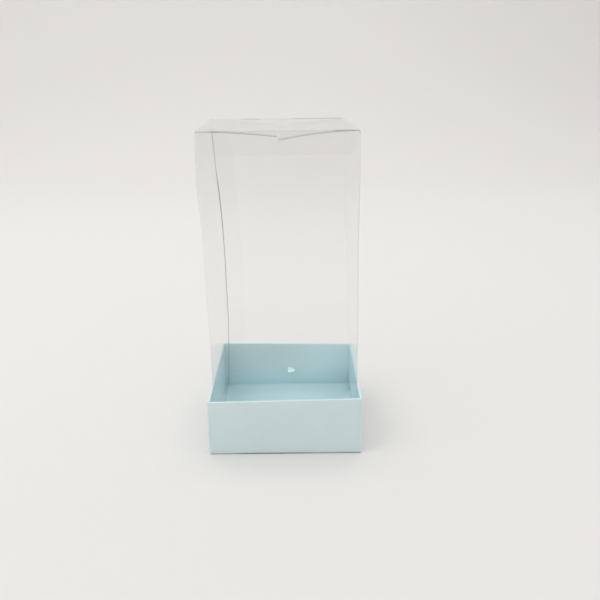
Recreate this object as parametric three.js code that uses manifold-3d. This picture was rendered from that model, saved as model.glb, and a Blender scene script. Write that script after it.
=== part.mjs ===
// A clear film gift box: a tall square cover folded from clear film stands inside a shallow
// tray folded from pale blue card. Every panel between two creases is a solid of its own.
//
// Millimetres, +Z up, front towards -Y. The origin is the middle of the tray's underside.

import * as THREE from 'three';
import { mergeVertices } from 'three/addons/utils/BufferGeometryUtils.js';
import Module from 'manifold-3d';

// Card tray
const trayWidth = 85.6;
const trayDepth = 85.6;
const trayHeight = 33;
const boardThickness = 0.45;
const wallSlack = 0.05;
const mitreRelief = 0.2;

// Ears: the end walls' corner tabs, trapped between the side walls and their liners
const earLength = 26;
const earEndDrop = 5;
const earMargin = 0.35;

// Foot flaps: the liners' lower ends, folded inwards and down onto the floor
const footHeight = 4;
const footLayerStep = 0.3;
const endFootFlapLength = 26;
const endFootFlapDraw = 1;
const sideFootFlapLength = 20;
const sideFootFlapSetback = 12.5;
const sideFootFlapTip = 8.2;
const footFlapRelief = 0.3;

// Film cover
const overallHeight = 178;
const filmThickness = 0.3;
const coverClearance = 1.4;
const creaseGap = 0.3;
const panelCreaseRadius = 0.3;
const glueFlapWidth = 11;
const glueFlapTaper = 9;
const glueFlapMargin = 3;

// Lid and tuck flap
const lidSideRelief = 0.2;
const lidFrontGap = 0.5;
const lidCornerCut = 0.8;
const tuckLength = 12;
const tuckSideRelief = 1.2;
const tuckCornerRadius = 5;
const tuckLean = THREE.MathUtils.degToRad(11);

// Dust flaps: they sag below the lid and meet in the middle
const dustFlapMeetingGap = 0.8;
const dustFlapFrontSetback = 2.5;
const dustFlapRearSetback = 2;
const dustFlapRearSlope = 0.5;
const dustFlapCornerRadius = 3;
const leftDustFlapSag = 2.6;
const rightDustFlapSag = 4.3;
const sagPower = 1.9;

// Fineness of the curves
const creaseSteps = 4;
const cornerSteps = 8;
const sagSteps = 18;

// Sizes that follow from the ones above
const rimWidth = 3 * boardThickness + wallSlack;
const wallTop = trayHeight - boardThickness;
const sideFootHeight = footHeight + footLayerStep;
const sideFootSlope = footDrop(sideFootHeight) / sideFootFlapLength;
const coverWidth = trayWidth - 2 * (rimWidth + coverClearance);
const coverDepth = trayDepth - 2 * (rimWidth + coverClearance);
const coverFoot = sideFootHeight - sideFootSlope * coverClearance + creaseGap;
const halfFilm = filmThickness / 2;
const lidMiddle = overallHeight - halfFilm;
const dustFlapMiddle = lidMiddle - filmThickness - creaseGap;
const lidHingeBack = coverDepth / 2 - halfFilm;
const lidFront = -coverDepth / 2 + filmThickness + lidFrontGap;
const dustHingeOutwards = coverWidth / 2 - halfFilm;
const endPanelTop = lidMiddle - halfFilm - creaseGap;
const sidePanelTop = dustFlapMiddle - halfFilm - creaseGap;

const wasm = await Module();
wasm.setup();

// How far a foot flap comes down from its crease before its free edge meets the floor.
function footDrop(height) {
  return height - 2 * boardThickness - creaseGap;
}

function cardMaterial() {
  return new THREE.MeshStandardMaterial({ color: 0xb9d2d4, roughness: 0.7, metalness: 0 });
}

function filmMaterial() {
  return new THREE.MeshStandardMaterial({
    color: 0xe6eeee,
    roughness: 0.08,
    metalness: 0,
    transparent: true,
    opacity: 0.3,
  });
}

function addPiece(group, name, geometry, material) {
  const mesh = new THREE.Mesh(geometry, material);
  mesh.name = name;
  group.add(mesh);
  return mesh;
}

function outline(points) {
  return new THREE.Shape(points.map(([x, y]) => new THREE.Vector2(x, y)));
}

function sheet(shape, thickness, steps = cornerSteps) {
  return new THREE.ExtrudeGeometry(shape, {
    depth: thickness,
    bevelEnabled: false,
    curveSegments: steps,
  });
}

// Booleans

function toSolid(geometry) {
  const bare = geometry.clone();
  bare.deleteAttribute('normal');
  bare.deleteAttribute('uv');
  const merged = mergeVertices(bare, 1e-5);
  return new wasm.Manifold(
    new wasm.Mesh({
      numProp: 3,
      vertProperties: new Float32Array(merged.attributes.position.array),
      triVerts: new Uint32Array(merged.index.array),
    }),
  );
}

function toGeometry(solid) {
  const mesh = solid.getMesh();
  const geometry = new THREE.BufferGeometry();
  geometry.setAttribute('position', new THREE.BufferAttribute(mesh.vertProperties, 3));
  geometry.setIndex(new THREE.BufferAttribute(mesh.triVerts, 1));
  geometry.computeVertexNormals();
  return geometry;
}

// Tray
//
// Each side is built as if it were the front one, x along the wall and -y outwards, in a
// group that is turned to its place.

const traySides = [
  { name: 'front', turn: 0, outwards: trayDepth / 2, halfLength: trayWidth / 2, trapsEars: false },
  { name: 'right', turn: 90, outwards: trayWidth / 2, halfLength: trayDepth / 2, trapsEars: true },
  { name: 'back', turn: 180, outwards: trayDepth / 2, halfLength: trayWidth / 2, trapsEars: false },
  { name: 'left', turn: -90, outwards: trayWidth / 2, halfLength: trayDepth / 2, trapsEars: true },
];

// A strip of card: a cross-section drawn as distance outwards and height, run along the wall.
// halfLengthAt gives where it ends at each distance outwards, so an end can be cut at an angle.
function strip(section, halfLengthAt) {
  const geometry = sheet(section, 1, creaseSteps);
  const position = geometry.attributes.position;
  for (let i = 0; i < position.count; i += 1) {
    const outwards = position.getX(i);
    const height = position.getY(i);
    const end = position.getZ(i) > 0.5 ? -1 : 1;
    position.setXYZ(i, end * halfLengthAt(outwards), -outwards, height);
  }
  geometry.computeVertexNormals();
  return geometry;
}

// The outer wall, with the floor crease's round at its foot.
function wallGeometry(side) {
  const face = side.outwards;
  const back = face - boardThickness;
  const section = new THREE.Shape();
  section.moveTo(back, 0);
  section.absarc(back, boardThickness, boardThickness, -Math.PI / 2, 0, false);
  section.lineTo(face, wallTop);
  section.lineTo(back, wallTop);
  section.closePath();
  const end = side.trapsEars ? side.halfLength : side.halfLength - boardThickness;
  return strip(section, () => end);
}

// The rim strip and the wall folded down inside, one bent strip with mitred ends.
function linerGeometry(side, foot) {
  const face = side.outwards;
  const inner = face - rimWidth;
  const section = new THREE.Shape();
  section.moveTo(face, wallTop);
  section.absarc(face - boardThickness, wallTop, boardThickness, 0, Math.PI / 2, false);
  section.lineTo(inner + boardThickness, trayHeight);
  section.absarc(inner + boardThickness, wallTop, boardThickness, Math.PI / 2, Math.PI, false);
  section.lineTo(inner, foot);
  section.lineTo(inner + boardThickness, foot);
  section.lineTo(inner + boardThickness, wallTop);
  section.closePath();
  return strip(section, (outwards) => side.halfLength - (face - outwards) - mitreRelief);
}

// A foot flap slopes from the liner's foot down to the floor, and its free edge rests there.
// The end flaps reach under the side liners' feet, up to the ears, and draw in a little. The side
// flaps are mitred down to a short free edge.
function addFootFlap(group, side, height) {
  const length = side.trapsEars ? sideFootFlapLength : endFootFlapLength;
  const sideInset = rimWidth + sideFootFlapSetback;
  const endInset = 2 * boardThickness + footFlapRelief;
  const rootHalf = side.halfLength - (side.trapsEars ? sideInset : endInset);
  const tipHalf = side.trapsEars ? sideFootFlapTip / 2 : rootHalf - endFootFlapDraw;
  const shape = outline([
    [-rootHalf, 0],
    [rootHalf, 0],
    [tipHalf, length],
    [-tipHalf, length],
  ]);
  const geometry = sheet(shape, boardThickness);
  geometry.translate(0, 0, -boardThickness);
  const flap = addPiece(group, `${side.name}_foot_flap`, geometry, cardMaterial());
  flap.position.set(0, -(side.outwards - rimWidth + boardThickness / 2), height);
  flap.rotation.x = -Math.asin(footDrop(height) / length);
}

// An ear lies flat against the inside of a side wall, its free end sloped at top and bottom.
function addEar(group, side, end, name) {
  const root = side.halfLength - boardThickness;
  const tip = root - earLength;
  const low = boardThickness + earMargin;
  const high = wallTop - earMargin;
  const points = [
    [root, low],
    [root, high],
    [tip, high - earEndDrop],
    [tip, low + earEndDrop],
  ];
  const turned = end > 0 ? points : points.map(([x, z]) => [-x, z]).reverse();
  const ear = addPiece(group, name, sheet(outline(turned), boardThickness), cardMaterial());
  ear.rotation.x = Math.PI / 2;
  ear.position.y = -(side.outwards - 2 * boardThickness);
}

function addTray(parent) {
  const tray = new THREE.Group();
  parent.add(tray);
  const floorWidth = trayWidth - 2 * boardThickness;
  const floorDepth = trayDepth - 2 * boardThickness;
  const floor = new THREE.BoxGeometry(floorWidth, floorDepth, boardThickness);
  addPiece(tray, 'tray_floor', floor, cardMaterial()).position.z = boardThickness / 2;
  for (const side of traySides) {
    const height = side.trapsEars ? sideFootHeight : footHeight;
    const group = new THREE.Group();
    group.rotation.z = THREE.MathUtils.degToRad(side.turn);
    tray.add(group);
    addPiece(group, `${side.name}_wall`, wallGeometry(side), cardMaterial());
    addPiece(group, `${side.name}_liner`, linerGeometry(side, height + creaseGap), cardMaterial());
    addFootFlap(group, side, height);
    if (side.trapsEars) {
      const towards = side.name === 'left' ? ['front', 'back'] : ['back', 'front'];
      addEar(group, side, 1, `${towards[0]}_${side.name}_ear`);
      addEar(group, side, -1, `${towards[1]}_${side.name}_ear`);
    }
  }
}

// Film cover

// The front and back panels take in the corner creases, which are round on the outside.
function endPanelPlan() {
  const half = coverWidth / 2;
  const face = coverDepth / 2;
  const inner = face - filmThickness;
  const round = Math.min(panelCreaseRadius, filmThickness);
  const plan = new THREE.Shape();
  plan.moveTo(-half, -inner);
  plan.absarc(-half + round, -face + round, round, Math.PI, 1.5 * Math.PI, false);
  plan.absarc(half - round, -face + round, round, 1.5 * Math.PI, 2 * Math.PI, false);
  plan.lineTo(half, -inner);
  plan.closePath();
  return plan;
}

function addCoverWalls(cover) {
  const inner = coverDepth / 2 - filmThickness;

  const frontHeight = endPanelTop + creaseGap - coverFoot;
  const front = addPiece(
    cover,
    'cover_front_panel',
    sheet(endPanelPlan(), frontHeight, creaseSteps),
    filmMaterial(),
  );
  front.position.z = coverFoot;

  const back = addPiece(
    cover,
    'cover_back_panel',
    sheet(endPanelPlan(), endPanelTop - coverFoot, creaseSteps),
    filmMaterial(),
  );
  back.position.z = coverFoot;
  back.rotation.z = Math.PI;

  const sideHeight = sidePanelTop - coverFoot;
  for (const [name, sign] of [['cover_left_panel', -1], ['cover_right_panel', 1]]) {
    const geometry = new THREE.BoxGeometry(filmThickness, 2 * inner, sideHeight);
    const panel = addPiece(cover, name, geometry, filmMaterial());
    panel.position.set(sign * dustHingeOutwards, 0, coverFoot + sideHeight / 2);
  }

  const low = coverFoot + glueFlapMargin;
  const high = sidePanelTop - glueFlapMargin;
  const start = -coverWidth / 2 + filmThickness;
  const end = start + glueFlapWidth;
  const seam = outline([
    [start, low],
    [end, low + glueFlapTaper],
    [end, high - glueFlapTaper],
    [start, high],
  ]);
  const flap = addPiece(cover, 'cover_glue_flap', sheet(seam, filmThickness), filmMaterial());
  flap.rotation.x = Math.PI / 2;
  flap.position.y = inner;
}

function addLid(cover) {
  const half = coverWidth / 2 - lidSideRelief;
  const rear = lidHingeBack - halfFilm;
  const plan = outline([
    [-half, rear],
    [-half, lidFront + lidCornerCut],
    [-half + lidCornerCut, lidFront],
    [half - lidCornerCut, lidFront],
    [half, lidFront + lidCornerCut],
    [half, rear],
  ]);
  const lid = addPiece(cover, 'lid_panel', sheet(plan, filmThickness), filmMaterial());
  lid.position.z = lidMiddle - halfFilm;
}

// The tuck flap hangs from the crease at the lid's front edge and leans in from the front panel.
function addTuckFlap(cover) {
  const half = coverWidth / 2 - lidSideRelief - tuckSideRelief;
  const root = halfFilm + creaseGap;
  const tip = root + tuckLength;
  const round = tuckCornerRadius;
  const shape = new THREE.Shape();
  shape.moveTo(-half, -root);
  shape.lineTo(-half, -tip + round);
  shape.absarc(-half + round, -tip + round, round, Math.PI, 1.5 * Math.PI, false);
  shape.absarc(half - round, -tip + round, round, 1.5 * Math.PI, 2 * Math.PI, false);
  shape.lineTo(half, -root);
  shape.closePath();
  const geometry = sheet(shape, filmThickness);
  geometry.translate(0, 0, -halfFilm);
  const flap = addPiece(cover, 'tuck_flap', geometry, filmMaterial());
  flap.position.set(0, lidFront, lidMiddle);
  flap.rotation.x = Math.PI / 2 + tuckLean;
}

// A dust flap reaches from its crease at x = 0 along +x. Its section sags like a sheet held at
// one edge, and the plan cuts its rear edge back so that it stays under the rising lid.
function dustFlapGeometry(sag, frontSign) {
  const length = dustHingeOutwards - dustFlapMeetingGap / 2;
  const section = new THREE.Shape();
  const fallAt = (reach) => sag * (reach / length) ** sagPower;
  section.moveTo(halfFilm, -fallAt(halfFilm) - halfFilm);
  for (let i = 1; i <= sagSteps; i += 1) {
    const reach = halfFilm + ((length - halfFilm) * i) / sagSteps;
    section.lineTo(reach, -fallAt(reach) - halfFilm);
  }
  for (let i = sagSteps; i >= 0; i -= 1) {
    const reach = halfFilm + ((length - halfFilm) * i) / sagSteps;
    section.lineTo(reach, -fallAt(reach) + halfFilm);
  }
  section.closePath();
  const band = sheet(section, coverDepth);
  band.rotateX(Math.PI / 2);
  band.translate(0, coverDepth / 2, 0);

  const front = coverDepth / 2 - filmThickness - dustFlapFrontSetback;
  const rearRoot = coverDepth / 2 - filmThickness - dustFlapRearSetback;
  const rearTip = rearRoot - dustFlapRearSlope * length;
  const round = dustFlapCornerRadius;
  const plan = new THREE.Shape();
  plan.moveTo(0, -front);
  plan.lineTo(length - round, -front);
  plan.absarc(length - round, -front + round, round, 1.5 * Math.PI, 2 * Math.PI, false);
  plan.lineTo(length, rearTip);
  plan.lineTo(0, rearRoot);
  plan.closePath();
  const tall = 4 * (sag + filmThickness);
  const cutter = sheet(plan, tall);
  cutter.translate(0, 0, -tall / 2);
  const solid = toSolid(band).intersect(toSolid(frontSign < 0 ? cutter : flipped(cutter)));
  return toGeometry(solid);
}

// The same outline with front and rear exchanged, turned over so that it stays the right way out.
function flipped(geometry) {
  return geometry.clone().rotateX(Math.PI);
}

function addDustFlaps(cover) {
  const left = addPiece(
    cover,
    'left_dust_flap',
    dustFlapGeometry(leftDustFlapSag, -1),
    filmMaterial(),
  );
  left.position.set(-dustHingeOutwards, 0, dustFlapMiddle);

  const right = addPiece(
    cover,
    'right_dust_flap',
    dustFlapGeometry(rightDustFlapSag, 1),
    filmMaterial(),
  );
  right.position.set(dustHingeOutwards, 0, dustFlapMiddle);
  right.rotation.z = Math.PI;
}

const box = new THREE.Group();
addTray(box);
const cover = new THREE.Group();
box.add(cover);
addCoverWalls(cover);
addLid(cover);
addTuckFlap(cover);
addDustFlaps(cover);

export default box;
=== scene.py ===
"""A clear film gift box in its pale blue card tray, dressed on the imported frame, with a plain stage.

The tray's card and the cover's film are modelled panel by panel, as the sheets are folded. Lengths
are in metres, +Z is up and the front faces -Y.
"""

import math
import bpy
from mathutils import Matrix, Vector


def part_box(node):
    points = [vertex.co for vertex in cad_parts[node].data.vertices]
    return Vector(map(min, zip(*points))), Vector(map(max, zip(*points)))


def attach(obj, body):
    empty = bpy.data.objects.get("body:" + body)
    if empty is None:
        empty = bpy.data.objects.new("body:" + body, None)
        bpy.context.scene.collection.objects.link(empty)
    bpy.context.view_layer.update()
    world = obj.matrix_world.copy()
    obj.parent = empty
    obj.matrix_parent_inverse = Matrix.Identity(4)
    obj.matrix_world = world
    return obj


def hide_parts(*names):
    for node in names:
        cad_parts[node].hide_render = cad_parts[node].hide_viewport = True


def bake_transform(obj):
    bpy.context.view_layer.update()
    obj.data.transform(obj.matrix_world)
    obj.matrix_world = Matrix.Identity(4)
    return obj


bl_info = {
    "name": "Clear Film Gift Box",
    "version": (1, 0, 0),
    "blender": (4, 5, 0),
    "location": "3D View > Sidebar > Gift Box",
    "description": "Folds the card tray and the clear film cover, and sets up their stage",
    "category": "Object",
}

from collections import namedtuple

import bmesh
import bpy
from bpy.props import FloatProperty, FloatVectorProperty, PointerProperty
from mathutils import Euler, Matrix, Vector

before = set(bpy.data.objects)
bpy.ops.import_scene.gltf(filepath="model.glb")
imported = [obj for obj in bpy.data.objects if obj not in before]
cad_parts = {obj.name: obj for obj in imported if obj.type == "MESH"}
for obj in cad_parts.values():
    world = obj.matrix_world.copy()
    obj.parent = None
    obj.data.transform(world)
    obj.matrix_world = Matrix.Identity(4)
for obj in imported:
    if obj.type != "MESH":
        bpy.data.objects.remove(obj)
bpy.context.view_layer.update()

MM = 0.001

# Sheet thicknesses, and sizes read from the frame
CARD = 0.45 * MM
FILM = 0.3 * MM
HALF_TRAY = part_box("right_wall")[1].x
WALL_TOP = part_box("front_wall")[1].z
RIM_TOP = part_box("front_liner")[1].z
RIM_WIDTH = HALF_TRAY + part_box("front_liner")[1].y
HALF_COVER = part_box("cover_right_panel")[1].x
COVER_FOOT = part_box("cover_front_panel")[0].z
BOX_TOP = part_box("lid_panel")[1].z

# Folds and cut edges of the card. A fold's radius is that of the sheet's middle, so it is
# more than half the sheet's thickness.
CARD_FOLD = 0.65 * CARD
WALL_FOOT_RUN = 0.43 * MM
CARD_EDGE_ROUND = 0.08 * MM
RIM_ROUND = 0.85 * CARD
MITRE_RELIEF = 0.2 * MM
EAR_END_DROP = 5 * MM
SIDE_FLAP_TIP = 8.2 * MM
END_FLAP_DRAW = 1 * MM
FLAP_REST = 0.02 * MM

# A small glossy scrap on the back liner, seen from the front: it hangs by its top edge,
# stands out at its foot and has a tail to the right
SCRAP_LOW = (0.5 * MM, 13.2 * MM)
SCRAP_HIGH = (5.4 * MM, 15.9 * MM)
SCRAP_TAIL_SHARE = 0.1
SCRAP_TAIL_DROP = 0.4 * MM
SCRAP_STAND_OUT = 2.2 * MM
SCRAP_CURL = 1.2
SCRAP_THICKNESS = 0.2 * MM

# Folds and corners of the film
CREASE_RUN = 0.4 * MM
GLUE_FLAP_TAPER = 9 * MM
GLUE_FLAP_INSET = 0.05 * MM
TUCK_LEAN = math.radians(11)
TUCK_CORNER = 5 * MM
DUST_REAR_SLOPE = 0.5
DUST_CORNER = 3 * MM
SAG_POWER = 1.9

# How far the sheets' wandering from flat repeats
CARD_WAVE = 30 * MM
FILM_WAVE = 55 * MM

# How finely the sheets are cut so that they can bend, and how many steps round off a fold or corner
WALL_STRIPS = 20
WALL_ROWS = 6
LID_STRIPS = 16
TUBE_CUTS_UP = 31
TUBE_CUTS_ACROSS = 15
CARD_FOLD_STEPS = 4
FILM_FOLD_STEPS = 5
CORNER_STEPS = 8

# Material slots of the card pieces and of the film pieces. Slot 0 is the sheet's face.
CARD_FACE = 0
CARD_EDGE = 1
CARD_SCRAP = 2
FILM_CREASE = 1
FILM_EDGE = 2

# Picking faces: the share of a normal along its axis on a flat side and on a cut edge, and the
# slack where a crease begins
FLAT_SIDE = 0.999
CUT_EDGE = 0.9
PAINT_SLACK = 0.01 * MM

# Sides of the tray. Each is made as the front one and then turned about the middle.
Side = namedtuple("Side", "name turn traps_ears across")
SIDES = (
    Side("front", 0, False, "Y"),
    Side("right", 90, True, "X"),
    Side("back", 180, False, "Y"),
    Side("left", -90, True, "X"),
)

# How far each corner of the film tube stands out along x, in mm, at even heights from its
# foot to its top. The tube leans and bows as thin film does.
BOW_LEVELS = {
    ("left", "front"): (0.0, 0.1, 0.4, 0.0, -0.5, -1.0, -2.3, -1.9),
    ("left", "back"): (0.2, 1.3, 2.1, 1.8, 1.4, 0.3, -1.7, -3.0),
    ("right", "front"): (0.0, 0.0, 0.1, 0.1, -0.15, -0.3, 0.0, -0.3),
    ("right", "back"): (0.0, 0.0, 0.0, -0.3, -1.2, -2.4, -3.2, -3.5),
}

# The backdrop: a paper floor whose four sides curve up into walls
BACKDROP_LOW = (-2.0, -2.5, 0)
BACKDROP_HIGH = (2.0, 1.5, 0)
BACKDROP_CORNER = 0.9
BACKDROP_COVE = 0.6
BACKDROP_WALL = 1.5

# The camera's sensor, in mm, and how near and far it sees. The room's light is a little warm.
SENSOR_WIDTH = 36.0
CLIP_START = 0.01
CLIP_END = 20.0
ROOM_COLOUR = (1.0, 0.995, 0.985, 1.0)

# Lamps: where each hangs, what it points at, its size and its share of the key light's power
Lamp = namedtuple("Lamp", "name place target size share")
LAMPS = (
    Lamp("key", (-0.75, -0.45, 1.15), (0, 0, 0.08), (0.9, 0.9), 1.0),
    Lamp("fill", (0.9, -0.9, 0.9), (0, 0, 0.08), (0.9, 0.9), 0.25),
    Lamp("backdrop_light", (-0.2, 0.65, 1.0), (-0.2, 0.58, 0), (2.0, 0.5), 0.95),
)


class TraySettings(bpy.types.PropertyGroup):
    """Sizes and colours of the card tray."""

    card_colour: FloatVectorProperty(
        name="Card colour",
        description="Colour of the card's printed face",
        subtype="COLOR",
        size=3,
        min=0.0,
        max=1.0,
        default=(0.667, 0.80, 0.818),
    )
    # The lining colour is a second, deeper blue copy of the card's colour, used inside the tray:
    # painted light and shade for how the inside is lit.
    lining_lit_colour: FloatVectorProperty(
        name="Lining colour",
        description="Colour of the card inside the tray, where it has seen less light",
        subtype="COLOR",
        size=3,
        min=0.0,
        max=1.0,
        default=(0.60, 0.835, 0.885),
    )
    core_colour: FloatVectorProperty(
        name="Core colour",
        description="Colour of the card's cut edges and of its worn creases",
        subtype="COLOR",
        size=3,
        min=0.0,
        max=1.0,
        default=(0.80, 0.93, 0.94),
    )
    scrap_colour: FloatVectorProperty(
        name="Scrap colour",
        description="Colour of the glossy scrap on the back liner",
        subtype="COLOR",
        size=3,
        min=0.0,
        max=1.0,
        default=(0.76, 0.99, 1.0),
    )
    waviness: FloatProperty(
        name="Waviness",
        description="How far the card walls wander from flat",
        unit="LENGTH",
        default=0.35 * MM,
    )
    twist: FloatProperty(
        name="Twist",
        description="How far the rim rises at two opposite corners and sinks at the other two",
        unit="LENGTH",
        default=0.7 * MM,
    )
    flap_lift: FloatProperty(
        name="Foot flap lift",
        description="How far the foot flaps bulge up between crease and free edge",
        unit="LENGTH",
        default=0.5 * MM,
    )


class CoverSettings(bpy.types.PropertyGroup):
    """Sizes and finish of the clear film cover."""

    crease_radius: FloatProperty(
        name="Crease radius",
        description="Outer radius of the folded corners",
        unit="LENGTH",
        default=0.5 * MM,
    )
    waviness: FloatProperty(
        name="Waviness",
        description="How far the film panels wander from flat",
        unit="LENGTH",
        default=0.8 * MM,
    )
    lid_sag: FloatProperty(
        name="Lid sag",
        description="How far the middle of the lid sinks",
        unit="LENGTH",
        default=0.5 * MM,
    )
    left_sag: FloatProperty(
        name="Left flap sag",
        description="How far the left dust flap's tip hangs below its crease",
        unit="LENGTH",
        default=2.6 * MM,
    )
    right_sag: FloatProperty(
        name="Right flap sag",
        description="How far the right dust flap's tip hangs below its crease",
        unit="LENGTH",
        default=4.3 * MM,
    )
    haze: FloatProperty(
        name="Haze",
        description="Share of light that one face of the film scatters",
        subtype="FACTOR",
        min=0.0,
        max=1.0,
        default=0.006,
    )
    clearness: FloatProperty(
        name="Clearness",
        description="Share of light that one face of the film lets through",
        subtype="FACTOR",
        min=0.0,
        max=1.0,
        default=0.997,
    )
    tucked_gloss: FloatProperty(
        name="Tucked gloss",
        description="Gloss of the flaps that lie against other film, as a share of the panels' gloss",
        subtype="FACTOR",
        min=0.0,
        max=1.0,
        default=0.35,
    )


class StageSettings(bpy.types.PropertyGroup):
    """Camera, lights and backdrop."""

    camera_place: FloatVectorProperty(
        name="Camera place",
        description="Where the camera stands",
        subtype="TRANSLATION",
        size=3,
        default=(0.00905, -0.3973, 0.2098),
    )
    camera_pitch: FloatProperty(
        name="Camera pitch",
        description="How far the camera looks down",
        subtype="ANGLE",
        default=math.radians(18.47),
    )
    camera_roll: FloatProperty(
        name="Camera roll",
        description="How far the camera is turned about its view, clockwise below zero",
        subtype="ANGLE",
        default=math.radians(-0.61),
    )
    lens: FloatProperty(
        name="Lens",
        description="Focal length in millimetres on a sensor 36 mm wide",
        default=42.81,
    )
    paper_colour: FloatVectorProperty(
        name="Backdrop colour",
        description="Colour of the floor and backdrop",
        subtype="COLOR",
        size=3,
        min=0.0,
        max=1.0,
        default=(0.835, 0.823, 0.81),
    )
    key_power: FloatProperty(
        name="Key light",
        description="Power of the large light at the upper left",
        unit="POWER",
        default=2.8,
    )
    sky_strength: FloatProperty(
        name="Room light",
        description="Strength of the light from all round",
        default=0.885,
    )


# Shader building

class Value:
    """A node's output. Its operators add Math nodes, so that sums read as plain sums."""

    def __init__(self, recipe, socket):
        self.recipe = recipe
        self.socket = socket

    def math(self, operation, *others):
        return self.recipe.add("ShaderNodeMath", {"operation": operation}, self, *others)

    def __add__(self, other):
        return self.math("ADD", other)

    def __mul__(self, other):
        return self.math("MULTIPLY", other)

    def __sub__(self, other):
        return self.math("SUBTRACT", other)

    def __rsub__(self, other):
        return self.recipe.add("ShaderNodeMath", {"operation": "SUBTRACT"}, other, self)

    def __truediv__(self, other):
        return self.math("DIVIDE", other)

    def __pow__(self, other):
        return self.math("POWER", other)

    def __abs__(self):
        return self.math("ABSOLUTE")

    __radd__ = __add__
    __rmul__ = __mul__

    def between(self, low, high):
        """0 up to low, 1 from high, smooth in between."""
        settings = {"interpolation_type": "SMOOTHSTEP"}
        inputs = {"Value": self, "From Min": low, "From Max": high}
        return self.recipe.add("ShaderNodeMapRange", settings, **inputs)

    def within(self, low, high, blur):
        """1 from low to high and 0 outside them, with soft ends as wide as blur."""
        return self.between(low - blur, low) * (1 - self.between(high, high + blur))


def find_socket(sockets, key):
    """A socket by its number, its name or its identifier."""
    if isinstance(key, int):
        return sockets[key]
    return next(socket for socket in sockets if key in (socket.name, socket.identifier))


class Recipe:
    """A material under construction."""

    def __init__(self, name):
        self.material = bpy.data.materials.new(name)
        self.material.use_nodes = True
        self.nodes = self.material.node_tree.nodes
        self.links = self.material.node_tree.links
        self.nodes.clear()
        self.place = self.add("ShaderNodeTexCoord", {}, output="Object")

    def add(self, kind, settings, *inputs, output=0, **named):
        """Adds a node, sets its settings and then its sockets, and returns one of its outputs."""
        node = self.nodes.new(kind)
        for key, value in settings.items():
            setattr(node, key, value)
        for key, value in (*enumerate(inputs), *named.items()):
            socket = find_socket(node.inputs, key)
            if isinstance(value, Value):
                self.links.new(value.socket, socket)
            else:
                socket.default_value = value
        return Value(self, find_socket(node.outputs, output))

    def axes(self):
        """The x, y and z of the place on the object."""
        node = self.add("ShaderNodeSeparateXYZ", {}, self.place).socket.node
        return [Value(self, node.outputs[axis]) for axis in "XYZ"]

    def noise(self, size, stretch=(1, 1, 1), detail=3.0):
        """Noise whose lumps are about size across, drawn out along each axis by stretch."""
        scale = [1 / (size * part) for part in stretch]
        place = self.add("ShaderNodeVectorMath", {"operation": "MULTIPLY"}, self.place, scale)
        return self.add("ShaderNodeTexNoise", {}, place, output="Fac", Scale=1.0, Detail=detail)

    def mix(self, share, first, second):
        """A colour between two others."""
        colours = {"Factor_Float": share, "A_Color": first, "B_Color": second}
        return self.add("ShaderNodeMix", {"data_type": "RGBA"}, output="Result_Color", **colours)

    def bump(self, height, depth):
        """A normal from a height between 0 and 1 that stands for depth."""
        return self.add("ShaderNodeBump", {}, Height=height, Distance=depth, Strength=1.0)

    def surface(self, colour, roughness, **sockets):
        """The surface's own shader, with its colour and roughness and any other of its sockets."""
        inputs = {"Base Color": colour, "Roughness": roughness, **sockets}
        return self.add("ShaderNodeBsdfPrincipled", {}, **inputs)

    def see_through(self, share, tint, surface):
        """A surface that shows by share, with what is behind it tinted."""
        clear = self.add("ShaderNodeBsdfTransparent", {}, Color=tint)
        return self.add("ShaderNodeMixShader", {}, share, clear, surface)

    def finish(self, surface):
        """Shows this shader on the surface and returns the material."""
        output = self.nodes.new("ShaderNodeOutputMaterial")
        self.links.new(surface.socket, output.inputs["Surface"])
        return self.material


def rgba(colour):
    """A colour with full opacity."""
    return (*colour, 1.0)


def shade(colour, share):
    """A colour with each channel multiplied by share."""
    return rgba([channel * share for channel in colour])


def grey(level):
    """A grey with full opacity."""
    return (level, level, level, 1.0)


# Card

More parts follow.
